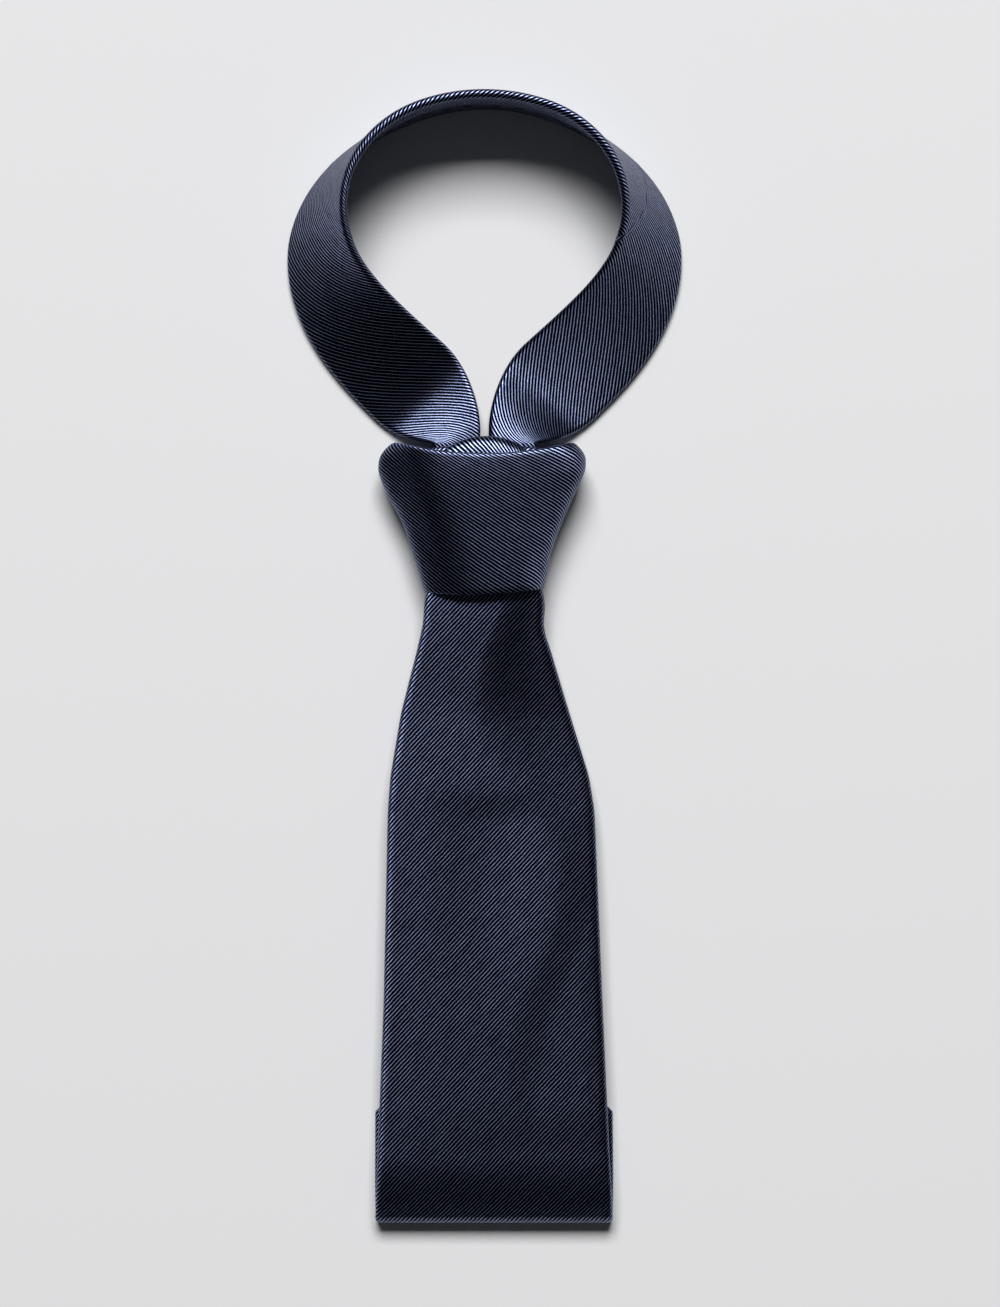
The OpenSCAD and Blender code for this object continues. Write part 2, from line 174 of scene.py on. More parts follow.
def blade_relief(x, y):
    """Height of the blade's cloth over its flat lie, fading out round the fold."""
    s = KNOT_LOW - y
    left = blade_extent(s, 1)
    right = blade_extent(s, 2)
    near = smooth((70 - s) / 50)
    line, wide, drop = (table(FALL_LINE, i, s, 6) for i in (1, 2, 3))
    z = -drop * smooth((x - line) / wide + 0.5)
    z += edge_roll(right - x, 3.0, 0.5 + near)
    z += edge_roll(left + x, 2.4, 0.4 + 0.2 * near)
    z += broad_fall(left + x, 22.0, 0.2)
    z += broad_fall(right - x, 9.0, 0.35)
    # a shallow step across the middle
    z -= 0.6 * np.exp(-((x - 2) / 17.0) ** 2) * smooth((s - 67) / 12) * smooth((155 - s) / 65)
    # a slow fall towards the fold, more on the right
    z -= 1.0 * smooth((s - BEND_S + 17) / 34) * (1 + x / 60)
    fade = smooth((BEND_S + 15 - s) / 22) * smooth((s + 18) / 10)
    return z * fade


# ---- Meshes ----

def add_object(name, data):
    obj = bpy.data.objects.new(name, data)
    bpy.context.scene.collection.objects.link(obj)
    return obj


def build(name, points, faces, uv, material):
    """A smooth-shaded mesh from points in millimetres, with one "cloth" uv per point."""
    mesh = bpy.data.meshes.new(name)
    mesh.from_pydata((points.reshape(-1, 3) * MM).tolist(), [], faces)
    mesh.polygons.foreach_set("use_smooth", [True] * len(mesh.polygons))
    layer = mesh.uv_layers.new(name="cloth")
    index = np.zeros(len(mesh.loops), int)
    mesh.loops.foreach_get("vertex_index", index)
    layer.data.foreach_set("uv", uv.reshape(-1, 2)[index].astype(np.float32).ravel())
    mesh.materials.append(material)
    mesh.validate()
    return add_object(name, mesh)


def grid_faces(rows, cols, flip=False):
    faces = []
    for r in range(rows - 1):
        for c in range(cols - 1):
            a = r * cols + c
            quad = (a, a + cols, a + cols + 1, a + 1)
            faces.append(quad[::-1] if flip else quad)
    return faces


def thicken(obj, thick):
    """Gives a sheet its thickness, on its inner side."""
    solid = obj.modifiers.new("thick", "SOLIDIFY")
    solid.thickness = thick * MM
    solid.offset = -1
    solid.use_quality_normals = True
    graph = bpy.context.evaluated_depsgraph_get()
    mesh = bpy.data.meshes.new_from_object(obj.evaluated_get(graph))
    obj.modifiers.clear()
    obj.data = mesh
    mesh.set_sharp_from_angle(angle=math.radians(55))
    return obj


def cloth_uv(across, along, angle, pitch):
    """(ribs crossed, rib pitches along a rib) from the cloth's own coordinates."""
    c, s = math.cos(math.radians(angle)), math.sin(math.radians(angle))
    return np.stack([(along * c - across * s) / pitch, (along * s + across * c) / pitch], -1)


def arc_across(points, across):
    """Distance over the cloth along each row, measured from where across is 0 on the front."""
    step = np.linalg.norm(np.diff(points, axis=1), axis=2)
    run = np.concatenate([np.zeros((len(points), 1)), np.cumsum(step, axis=1)], axis=1)
    front = slice(FRONT_FIRST, FRONT_FIRST + FRONT_COLS)
    zero = np.array([np.interp(0, a[front], r[front]) for a, r in zip(across, run)])
    return run - zero[:, None]


# ---- The section of a folded length of tie ----
# It starts at the flap that lies under, in the middle of the back, goes round the left edge, over
# the front and round the right edge, and ends at the flap that lies on top.

BACK_COLS = 16
EDGE_COLS = 9
FRONT_COLS = 56
FRONT_FIRST = BACK_COLS + EDGE_COLS
RIB_PITCH = 1.07
BLADE_RIBS = 47  # degrees that the ribs rise to the right
KNOT_RIBS = -35


def section(left, right, half, reach):
    """(across, normal) of every column; reach is the flaps' overlap, or less than 0 in the opening."""
    left, right, reach = left[:, None], right[:, None], reach[:, None]
    middle = (right - left) / 2
    r = np.minimum(half, 0.4 * (left + right))
    lap = np.minimum(np.abs(reach), 0.35 * (left + right)) * np.sign(reach)
    t = np.linspace(0, 1, BACK_COLS)[None, :]
    theta = np.linspace(-0.5, 0.5, EDGE_COLS + 2)[None, 1:-1] * math.pi
    under_a = (middle + lap) * (1 - t) + (r - left) * t
    sink = 0.55 * smooth((under_a - middle + lap + 1.5) / 2.5) * (lap > 0.5)
    left_a = r - left - r * np.cos(theta)
    left_n = r * np.sin(theta)
    front_t = np.linspace(0, 1, FRONT_COLS)[None, :]
    front_a = (r - left) * (1 - front_t) + (right - r) * front_t
    right_a = right - r + r * np.cos(-theta)
    top_a = (right - r) * (1 - t) + (middle - lap) * t
    hem_a = middle - lap - np.array([[0.25, 0.2, 0.0]])
    hem_n = np.array([[0.12, 0.3, 0.42]])
    rows = len(left)
    flat = np.ones((rows, 1))
    a = np.concatenate([under_a, left_a, front_a, right_a, top_a, hem_a], axis=1)
    n = np.concatenate([
        -r * flat + sink, left_n, r * np.ones_like(front_a), r * np.sin(-theta) * flat,
        -r * np.ones_like(top_a), -r * flat + hem_n,
    ], axis=1)
    return a, n


def blade_opening(s):
    """Half the width of the gap between the flaps, past the bar tack."""
    half = (blade_extent(s, 1) + blade_extent(s, 2)) / 2
    return np.minimum(1.5 + (s - TACK_S) * OPENING, half - 10)


def blade_reach(s):
    """The flaps overlap down to the bar tack, and then part over the lining and meet at the point."""
    opening = blade_opening(s)
    return np.where(s < TACK_S, BLADE_LAP, np.where(opening > 0, -opening, 0.0))


def blade_points(s, a, n):
    """Points at distance s, a across the blade and n off the middle of its thickness."""
    y, z, turn = blade_place(s)
    ones = np.ones_like(a)
    y, z, turn = y[:, None] * ones, z[:, None] * ones, turn[:, None]
    points = np.stack([a, y - n * np.sin(turn), z + n * np.cos(turn)], -1)
    points[..., 2] += blade_relief(a, y) * (s < SPLIT_S)[:, None]
    return points


def blade_cloth(name, start, end, step):
    s = np.linspace(start, end, max(3, int((end - start) / step) + 1))
    a, n = section(blade_extent(s, 1), blade_extent(s, 2), HALF, blade_reach(s))
    points = blade_points(s, a, n)
    across = arc_across(points, a)
    uv = cloth_uv(across, spread(-s, a), BLADE_RIBS, RIB_PITCH)
    faces = grid_faces(*a.shape)
    return thicken(build(name, points, faces, uv, TWILL), CLOTH_T)


# ---- Flat slabs: interlinings ----

SLAB_COLS = 24
WOOL_HALF = 0.65  # half the interlining's thickness


def slab_section(left, right, half):
    """A closed ring of columns: over the top from left to right, and back underneath."""
    left, right = left[:, None], right[:, None]
    t = np.linspace(0, 1, SLAB_COLS)[None, :]
    over = -left * (1 - t) + right * t
    a = np.concatenate([over, over[:, ::-1]], axis=1)
    rim = np.minimum(1, np.minimum(a + left, right - a) / 0.5 + 0.25)
    side = np.concatenate([np.ones(SLAB_COLS), -np.ones(SLAB_COLS)])[None, :]
    return a, half * rim * side


def closed_faces(rows, cols):
    faces = []
    for r in range(rows - 1):
        for c in range(cols):
            a, b = r * cols + c, r * cols + (c + 1) % cols
            faces.append((a, a + cols, b + cols, b))
    for first, turn in ((0, 1), ((rows - 1) * cols, -1)):
        half = cols // 2
        for c in range(half - 1):
            quad = (first + c, first + c + 1, first + cols - 2 - c, first + cols - 1 - c)
            faces.append(quad[::turn])
    return faces


def blade_slab(name, start, end, step, inset):
    s = np.linspace(start, end, max(3, int((end - start) / step) + 1))
    left = blade_extent(s, 1) - inset
    right = blade_extent(s, 2) - inset
    a, n = slab_section(left, right, WOOL_HALF)
    points = blade_points(s, a, n)
    uv = np.stack([a, spread(-s, a)], -1)
    return build(name, points, closed_faces(*a.shape), uv, WOOL)


# ---- Threads ----

THREAD_SIDES = 6


def threads(name, lines, radius):
    """One mesh of round threads; each line is an array of points, and its ends are drawn in."""
    points, faces, uv = [], [], []
    for line in lines:
        line = np.asarray(line, float)
        tangent = np.gradient(line, axis=0)
        tangent /= np.linalg.norm(tangent, axis=1)[:, None]
        up = np.array([0.13, 0.21, 0.97]) if abs(tangent[0][2]) < 0.8 else np.array([1.0, 0.1, 0.2])
        side = np.cross(tangent, up)
        side /= np.linalg.norm(side, axis=1)[:, None]
        over = np.cross(side, tangent)
        first = len(points)
        length = 0.0
        for i, p in enumerate(line):
            length += np.linalg.norm(line[i] - line[i - 1]) if i else 0.0
            r = radius * (0.45 if i in (0, len(line) - 1) else 1.0)
            for k in range(THREAD_SIDES):
                t = 2 * math.pi * k / THREAD_SIDES
                points.append(p + r * (math.cos(t) * side[i] + math.sin(t) * over[i]))
                uv.append((length / radius, k / THREAD_SIDES))
        last = first + (len(line) - 1) * THREAD_SIDES
        for i in range(len(line) - 1):
            for k in range(THREAD_SIDES):
                a = first + i * THREAD_SIDES + k
                b = first + i * THREAD_SIDES + (k + 1) % THREAD_SIDES
                faces.append((a, b, b + THREAD_SIDES, a + THREAD_SIDES))
        faces.append(tuple(first + k for k in reversed(range(THREAD_SIDES))))
        faces.append(tuple(last + k for k in range(THREAD_SIDES)))
    return build(name, np.array(points), faces, np.array(uv), THREAD)


def dashes(place, start, end, dash=4.2, pitch=7.0):
    """Stitch lines along a path; place(s) gives (point, outward) at distance s."""
    lines = []
    for first in np.arange(start, end - dash, pitch):
        line = []
        for t in np.linspace(0, 1, 7):
            point, outward = place(first + t * dash)
            line.append(point + outward * (0.32 * math.sin(math.pi * t) ** 0.5 - 0.15))
        lines.append(line)
    return lines


def blade_back(s, offset=0.0):
    """A point on the middle of the blade's back, and the way that the back faces."""
    row = np.array([float(s)])
    y, z, turn = (float(v[0]) for v in blade_place(row))
    a = float((blade_extent(row, 2) - blade_extent(row, 1))[0]) / 2 - BLADE_LAP + offset
    out = np.array([0, math.sin(turn), -math.cos(turn)])
    point = np.array([a, y, z]) + HALF * out
    if s < SPLIT_S:
        point[2] += float(blade_relief(np.array([a]), np.array([y]))[0])
    return point, out


# ---- Materials ----

def new_material(name):
    material = bpy.data.materials.new(name)
    material.use_nodes = True
    return material, material.node_tree, material.node_tree.nodes["Principled BSDF"]


def math_node(tree, kind, a, b=None, clamp=False):
    """The output of a Math node; a and b are sockets or numbers."""
    node = tree.nodes.new("ShaderNodeMath")
    node.operation = kind
    node.use_clamp = clamp
    for i, value in enumerate((a, b)):
        if value is None:
            continue
        if isinstance(value, (int, float)):
            node.inputs[i].default_value = value
        else:
            tree.links.new(value, node.inputs[i])
    return node.outputs[0]


def centred(tree, value, share):
    """A noise's swing round its middle, times a share."""
    return math_node(tree, "MULTIPLY", math_node(tree, "SUBTRACT", value, 0.5), share)


def cloth_axes(tree):
    uv = tree.nodes.new("ShaderNodeUVMap")
    uv.uv_map = "cloth"
    split = tree.nodes.new("ShaderNodeSeparateXYZ")
    tree.links.new(uv.outputs[0], split.inputs[0])
    return uv.outputs[0], split.outputs[0], split.outputs[1]


def noise(tree, vector, scale, detail=2.0, stretch=(1, 1, 1)):
    mapping = tree.nodes.new("ShaderNodeMapping")
    mapping.inputs["Scale"].default_value = stretch
    tree.links.new(vector, mapping.inputs["Vector"])
    node = tree.nodes.new("ShaderNodeTexNoise")
    node.inputs["Scale"].default_value = scale
    node.inputs["Detail"].default_value = detail
    tree.links.new(mapping.outputs[0], node.inputs["Vector"])
    return node.outputs["Fac"]


def ramp(tree, fac, stops):
    node = tree.nodes.new("ShaderNodeValToRGB")
    elements = node.color_ramp.elements
    while len(elements) < len(stops):
        elements.new(0.5)
    for element, (position, color) in zip(elements, stops):
        element.position = position
        element.color = (*color, 1)
    tree.links.new(fac, node.inputs[0])
    return node.outputs[0]


def set_bump(tree, shader, height, distance):
    node = tree.nodes.new("ShaderNodeBump")
    node.inputs["Distance"].default_value = distance * MM
    node.inputs["Strength"].default_value = 1.0
    tree.links.new(height, node.inputs["Height"])
    tree.links.new(node.outputs[0], shader.inputs["Normal"])


def make_twill():
    """Silk twill: fine raised ribs of navy yarn, coloured near-black in the furrows between them as painted
    shade and pale blue at their crests as a painted highlight.
    """
    material, tree, shader = new_material("navy_twill")
    uv, across, along = cloth_axes(tree)
    wander = centred(tree, noise(tree, uv, 0.35), 0.3)
    phase = math_node(tree, "MULTIPLY", math_node(tree, "ADD", across, wander), 2 * math.pi)
    rib = math_node(tree, "MULTIPLY_ADD", math_node(tree, "SINE", phase), 0.5)
    rib.node.inputs[2].default_value = 0.5
    row = math_node(tree, "FLOOR", math_node(tree, "ADD", across, 0.25))
    beads = math_node(tree, "ADD", math_node(tree, "MULTIPLY", along, 2.1),
                      math_node(tree, "MULTIPLY", row, 0.37))
    bead = math_node(tree, "SINE", math_node(tree, "MULTIPLY", beads, 2 * math.pi))
    streak = noise(tree, uv, 1.0, 3.0, (0.9, 0.12, 1))
    grain = noise(tree, uv, 2.6, 2.0, (1, 0.6, 1))
    fac = math_node(tree, "ADD", rib, math_node(tree, "MULTIPLY", bead, 0.06))
    fac = math_node(tree, "ADD", fac, centred(tree, streak, 0.25))
    fac = math_node(tree, "ADD", fac, centred(tree, grain, 0.35), True)
    # painted light in the colour: the near-black at the low end of the ramp is painted shade in the furrows,
    # the pale blue at the top a painted highlight on the rib crests; the navy between is the yarn's own
    # colour
    color = ramp(tree, fac, [
        (0.0, (0.0004, 0.0005, 0.0015)), (0.60, (0.003, 0.004, 0.013)),
        (0.82, (0.070, 0.086, 0.190)), (1.0, (0.460, 0.540, 0.810)),
    ])
    tree.links.new(color, shader.inputs["Base Color"])
    # the silk's floats cross the ribs, so its gloss is narrow across them and wide along them
    tangent = tree.nodes.new("ShaderNodeTangent")
    tangent.direction_type = "UV_MAP"
    tangent.uv_map = "cloth"
    tree.links.new(tangent.outputs[0], shader.inputs["Tangent"])
    shader.inputs["Metallic"].default_value = 1.0
    shader.inputs["Roughness"].default_value = 0.46
    shader.inputs["Specular IOR Level"].default_value = 0.2
    shader.inputs["Anisotropic"].default_value = 0.75
    shader.inputs["Anisotropic Rotation"].default_value = 0.25
    height = math_node(tree, "ADD", rib, math_node(tree, "MULTIPLY", bead, 0.12))
    set_bump(tree, shader, height, 0.030)
    return material


def make_woven(name, dark, light, rough, pitch, depth, sheen=0.0, spec=0.4):
    """A plain weave in the piece's own uv: two crossing sets of fine yarns."""
    material, tree, shader = new_material(name)
    uv, across, along = cloth_axes(tree)
    one = math_node(tree, "SINE", math_node(tree, "MULTIPLY", across, 2 * math.pi / pitch))
    two = math_node(tree, "SINE", math_node(tree, "MULTIPLY", along, 2 * math.pi / pitch))
    weave = math_node(tree, "MULTIPLY_ADD", math_node(tree, "MULTIPLY", one, two), 0.3)
    weave.node.inputs[2].default_value = 0.5
    fibres = noise(tree, uv, 1.1, 4.0, (1, 0.5, 1))
    fac = math_node(tree, "ADD", weave, centred(tree, fibres, 0.8), True)
    tree.links.new(ramp(tree, fac, [(0.1, dark), (0.9, light)]), shader.inputs["Base Color"])
    shader.inputs["Roughness"].default_value = rough
    shader.inputs["Specular IOR Level"].default_value = spec
    shader.inputs["Sheen Weight"].default_value = sheen
    set_bump(tree, shader, weave, depth)
    return material


def make_thread():
    """Twisted sewing thread."""
    material, tree, shader = new_material("navy_thread")
    _, across, along = cloth_axes(tree)
    twist = math_node(tree, "ADD", math_node(tree, "MULTIPLY", across, 0.45), along)
    turn = math_node(tree, "SINE", math_node(tree, "MULTIPLY", twist, 2 * math.pi))
    ply = math_node(tree, "MULTIPLY_ADD", turn, 0.5)
    ply.node.inputs[2].default_value = 0.5
    tree.links.new(ramp(tree, ply, [(0.0, (0.010, 0.013, 0.030)), (1.0, (0.050, 0.062, 0.110))]),
                   shader.inputs["Base Color"])
    shader.inputs["Roughness"].default_value = 0.5
    set_bump(tree, shader, ply, 0.05)
    return material


def make_floor():
    material, _, shader = new_material("pale_floor")
    shader.inputs["Base Color"].default_value = (0.78, 0.78, 0.79, 1)
    shader.inputs["Roughness"].default_value = 0.8
    return material


TWILL = make_twill()
WOOL = make_woven("wool_interlining", (0.42, 0.39, 0.32), (0.74, 0.71, 0.62),
                  rough=0.9, pitch=0.9, depth=0.08, sheen=0.3)
SATIN = make_woven("lining_satin", (0.008, 0.011, 0.032), (0.028, 0.038, 0.095),
                   rough=0.42, pitch=0.32, depth=0.02, spec=0.25)
LABEL = make_woven("label_satin", (0.003, 0.005, 0.016), (0.012, 0.017, 0.048),
                   rough=0.45, pitch=0.36, depth=0.03, spec=0.15)
THREAD = make_thread()


# ---- Blade ----

BLADE_IN = 14  # how far the blade starts inside the knot
BLADE_MID = 100.0  # where the upper cloth meets the lower


def finish_piece(obj, nodes, body=None):
    """Hides the CAD nodes that the piece replaces, and attaches the piece to the body it rides."""
    if nodes:
        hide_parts(*nodes)
    if body:
        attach(obj, body)


def blend_top(obj):
    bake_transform(obj)


def blend_fold(obj):
    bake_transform(obj)


def blend_end(obj):
    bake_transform(obj)


def make_blade():
    upper = blade_cloth("blade_cloth_upper", -BLADE_IN, BLADE_MID, 1.7)
    lower = blade_cloth("blade_cloth_lower", BLADE_MID, SPLIT_S, 1.7)
    end = blade_cloth("blade_cloth_end", SPLIT_S, END_S, 1.2)
    finish_piece(upper, ["blade_shell"], None)
    finish_piece(lower, ["fold_shell"], None)
    finish_piece(end, ["blade_end_shell"], None)
    upper_wool = blade_slab("blade_wool_upper", 2 - BLADE_IN, BLADE_MID, 3.0, 1.6)
    lower_wool = blade_slab("blade_wool_lower", BLADE_MID, SPLIT_S, 2.0, 1.6)
    end_wool = blade_slab("blade_wool_end", SPLIT_S, END_S - 9, 1.2, 1.8)
    finish_piece(upper_wool, ["blade_interlining"], None)
    finish_piece(lower_wool, ["fold_interlining"], None)
    finish_piece(end_wool, ["blade_end_interlining"], None)
    for piece in (upper, upper_wool):
        blend_top(piece)
    for piece in (lower, lower_wool):
        blend_fold(piece)
    for piece in (end, end_wool):
        blend_end(piece)


def make_blade_stitches():
    flat = threads("blade_slip_stitches", dashes(blade_back, 12, BEND_S - 2), STITCH_R)
    finish_piece(flat, ["blade_slip_stitch"], "blade")
    fold = threads("fold_slip_stitches", dashes(blade_back, BEND_S, SPLIT_S + 1), STITCH_R)
    finish_piece(fold, ["fold_slip_stitch"])
    blend_fold(fold)
    end = threads("end_slip_stitches", dashes(blade_back, SPLIT_S + 1, TACK_S - 2), STITCH_R)
    finish_piece(end, ["blade_end_slip_stitch"])
    blend_end(end)


def bar_tack(name, middle, across, along, out, width, height, body, node):
    """A close row of thread over two long ones."""
    lines = []
    for side in (-0.5, 0.5):
        lines.append([middle + across * t * width + along * side * height * 0.5 + out * 0.1
                      for t in np.linspace(-0.5, 0.5, 5)])
    for t in np.linspace(-0.5, 0.5, max(5, int(width / 0.42))):
        foot = middle + across * t * width
        lines.append([foot + along * (k * height / 2) + out * (0.34 - 0.3 * k * k)
                      for k in np.linspace(-1, 1, 7)])
    finish_piece(threads(name, lines, 0.2), [node], body)


def make_tipping():
    """The satin that shows between the flaps at the blade's end."""
    s = np.linspace(TACK_S - 1.5, END_S - 7.5, 34)
    wide = np.clip(blade_opening(s) + 3.0, 0.6, None)
    middle = (blade_extent(s, 2) - blade_extent(s, 1)) / 2
    a = middle[:, None] + wide[:, None] * np.linspace(-1, 1, 22)[None, :]
    y, z, _ = blade_place(s)
    swell = 0.06 * np.sin(s / 5.0)[:, None] * np.cos(a / 6.0)
    points = np.stack([a, spread(y, a), z[:, None] + HALF - LINING_IN + swell], -1)
    uv = np.stack([a, spread(-s, a)], -1)
    obj = build("blade_tipping_cloth", points, grid_faces(*a.shape), uv, SATIN)
    thicken(obj, SATIN_T)
    finish_piece(obj, ["blade_tipping"], "blade_end")


make_blade()
make_blade_stitches()
make_tipping()
TACK_POINT = blade_back(TACK_S, 4.0)[0]
bar_tack("blade_tack_thread", TACK_POINT, np.array([1.0, 0, 0]), np.array([0, 1.0, 0]),
         np.array([0, 0, 1.0]), 7, 1.6, "blade_end", "blade_bar_tack")


# ---- Keeper, label and tag ----

def small_sheet(name, centre, size, rows, cols, lift, out):
    """A flat piece of satin with soft edges; lift(u, v) is its height over what it lies on."""
    u = np.linspace(-1, 1, cols)[None, :] * np.ones((rows, 1))
    v = np.linspace(-1, 1, rows)[:, None] * np.ones((1, cols))
    x = centre[0] + u * size[0] / 2
    y = centre[1] - v * size[1] / 2
    z = centre[2] + out * lift(u, v)
    uv = np.stack([x, y], -1)
    points = np.stack([x, y, z], -1)
    return build(name, points, grid_faces(rows, cols, flip=out < 0), uv, LABEL)


def make_keeper():
    lo, hi = low("keeper_loop"), high("keeper_loop")
    middle, mid_y = (lo[0] + hi[0]) / 2, (lo[1] + hi[1]) / 2
    width, high_y = hi[0] - lo[0], hi[1] - lo[1]
    s = KNOT_LOW - mid_y
    back = float(blade_place(np.array([s]))[1][0]) - HALF
    cols, rows = 61, 13
    t = np.linspace(-1, 1, cols)[None, :] * np.ones((rows, 1))
    v = np.linspace(-1, 1, rows)[:, None] * np.ones((1, cols))
    hang = (back - lo[2] - 0.3) * np.sqrt(np.clip(1 - np.abs(t) ** 6, 0, 1))
    y = mid_y - v * high_y / 2
    x = middle + t * (width / 2)
    z = back - 0.45 - hang + 0.35 * np.abs(v) ** 8
    points = np.stack([x, y, z], -1)
    uv = cloth_uv(x, y, 43, RIB_PITCH)
    obj = build("keeper_band", points, grid_faces(rows, cols, flip=True), uv, TWILL)
    thicken(obj, 0.6)
    finish_piece(obj, ["keeper_loop"], "blade")
    lines = []
    stitch = 1.3
    for side in (-1, 1):
        for k in np.linspace(-0.42, 0.42, 16):
            yk = mid_y + k * high_y
            lines.append([np.array([middle + side * (width / 2 - stitch + w), yk,
                                    back - 0.62 - 0.3 * (1 - (w / stitch) ** 2)])
                          for w in np.linspace(-stitch, stitch, 5)])
    tacks = threads("keeper_tack_threads", lines, 0.17)
    finish_piece(tacks, ["keeper_tacks"], "blade")


def make_label(name, node, body, out):
    """A blank label, sewn down along its short sides, and along its long ones if it is large."""
    lo, hi = low(node), high(node)
    size = (hi[0] - lo[0], hi[1] - lo[1])
    surface = lo[2] if out > 0 else hi[2]
    centre = ((lo[0] + hi[0]) / 2, (lo[1] + hi[1]) / 2, surface)

    def lift(u, v):
        rim = np.minimum(1 - np.abs(u), (1 - np.abs(v)) * size[1] / size[0]) * size[0] / 2
        hem = 0.10 * smooth((2.2 - rim) / 0.6)
        return 0.16 + hem + 0.10 * np.sin(2.2 * u + 0.6) * np.cos(1.7 * v)

    obj = small_sheet(name, centre, size, 27, 41, lift, out)
    thicken(obj, 0.14)
    finish_piece(obj, [node], body)
    lines = []

    def stitch(x, y, dx, dy):
        lines.append([np.array([x + t * dx, y + t * dy,
                                surface + out * (0.26 + 0.14 * math.sin(math.pi * t))])
                      for t in np.linspace(0, 1, 5)])

    half_x, half_y = size[0] / 2 - 1.1, size[1] / 2 - 1.1
    for side in (-1, 1):
        for first in np.arange(-half_y, half_y - 1.5, 2.3):
            stitch(centre[0] + side * half_x, centre[1] + first, 0, 1.7)
        if size[0] > 30:
            for first in np.arange(-half_x, half_x - 1.5, 2.3):
                stitch(centre[0] + first, centre[1] + side * half_y, 1.7, 0)
    seam = threads(name + "_stitches", lines, 0.1)
    finish_piece(seam, [], body)


make_keeper()
make_label("blank_label_cloth", "blank_label", "blade", -1)
make_label("care_tag_cloth", "care_tag", "blade_end", 1)


# ---- Tail ----

TAIL_W = 37.0
TAIL_POINT = 18.5  # length of the tail's point
TAIL_IN = 12.0  # half its width at the knot
TAIL_TOP = KNOT_LOW + 37
TAIL_TACK = TAIL_TIP + 34
TAIL_HALF = HALF - 0.05


def tail_half(y):
    shoulder = TAIL_TIP + TAIL_POINT
    k = np.clip((KNOT_LOW - y) / (KNOT_LOW - shoulder), 0, 1)
    return np.where(y > shoulder, TAIL_IN + (TAIL_W / 2 - TAIL_IN) * k,
                    TAIL_W / 2 * (y - TAIL_TIP) / TAIL_POINT + 0.3)


def tail_z(y):
    """The tail lies on the floor, and rises towards the knot."""
    return HALF + 3.4 * smooth((y - KNOT_LOW + 57) / 28)


def tail_opening(y):
    return np.minimum(1.0 + (TAIL_TACK - y) * 0.33, tail_half(y) - 6)


def tail_reach(y):
    opening = tail_opening(y)
    return np.where(y > TAIL_TACK, TAIL_LAP, np.where(opening > 0, -opening, 0.0))


def tail_points(y, a, n):
    ones = np.ones_like(a)
    return np.stack([a, y[:, None] * ones, tail_z(y)[:, None] + n], -1)


def blend_tail(obj):
    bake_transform(obj)


def make_tail():
    y = np.linspace(TAIL_TOP, TAIL_TIP, 90)
    half = tail_half(y)
    a, n = section(half, half, TAIL_HALF, tail_reach(y))
    points = tail_points(y, a, n)
    points[..., 2] = np.maximum(points[..., 2], 0.02)
    uv = cloth_uv(arc_across(points, a), spread(y, a), BLADE_RIBS, RIB_PITCH)
    cloth = build("tail_cloth", points, grid_faces(*a.shape), uv, TWILL)
    thicken(cloth, CLOTH_T)
    finish_piece(cloth, ["tail_shell", "tail_knot_pass"], None)
    blend_tail(cloth)
    y = np.linspace(TAIL_TOP - 2, TAIL_TIP + 7, 50)
    half = tail_half(y) - 1.8
    a, n = slab_section(half, half, WOOL_HALF)
    points = tail_points(y, a, n)
    uv = np.stack([a, spread(y, a)], -1)
    wool = build("tail_wool", points, closed_faces(*a.shape), uv, WOOL)
    finish_piece(wool, ["tail_interlining"], None)
    blend_tail(wool)
    y = np.linspace(TAIL_TACK + 1.5, TAIL_TIP + 5, 24)
    wide = np.clip(tail_opening(y) + 2.0, 0.5, None)
    a = wide[:, None] * np.linspace(-1, 1, 14)[None, :]
    points = np.stack([a, spread(y, a), tail_z(y)[:, None] - HALF + LINING_IN + 0 * a], -1)
    uv = np.stack([a, spread(y, a)], -1)
    lining = build("tail_tipping_cloth", points, grid_faces(*a.shape, flip=True), uv, SATIN)
    thicken(lining, SATIN_T)
    finish_piece(lining, ["tail_tipping"], "tail")


def tail_back(s):
    y = KNOT_LOW - s
    row = np.array([y])
    point = np.array([-TAIL_LAP, y, float(tail_z(row)[0]) - HALF + 0.38])
    return point, np.array([0, 0, -1.0])


make_tail()
TAIL_STITCHES = threads("tail_slip_stitches", dashes(tail_back, -8, KNOT_LOW - TAIL_TACK - 2), 0.2)
finish_piece(TAIL_STITCHES, ["tail_slip_stitch"])
blend_tail(TAIL_STITCHES)
bar_tack("tail_tack_thread", np.array([0, TAIL_TACK, 0.55]), np.array([1.0, 0, 0]), np.array([0, 1.0, 0]),
         np.array([0, 0, -1.0]), 5, 1.4, "tail", "tail_bar_tack")


# ---- Neck loop ----

LEG_X = 10.0  # the legs run straight into the knot at this x and height
LEG_Y = KNOT_LOW + 13
LEG_Z = 9.1
LEG_W = 16.0
NECK_W = 36.0
NECK_RX = 57.0  # half axes of the ellipse round the back of the neck
NECK_RY = 48.0
LOOP_Y = LOOP_BACK - HALF - NECK_RY
LEG_L = KNOT_HIGH - LEG_Y
SWEEP_L = 86.0  # from the knot to the ellipse
ARC_START = LEG_L + SWEEP_L
ARC_L = math.sqrt((NECK_RX ** 2 + NECK_RY ** 2) / 2) * math.pi / 2
LOOP_L = ARC_START + ARC_L
SEAM_D = ARC_START + 14


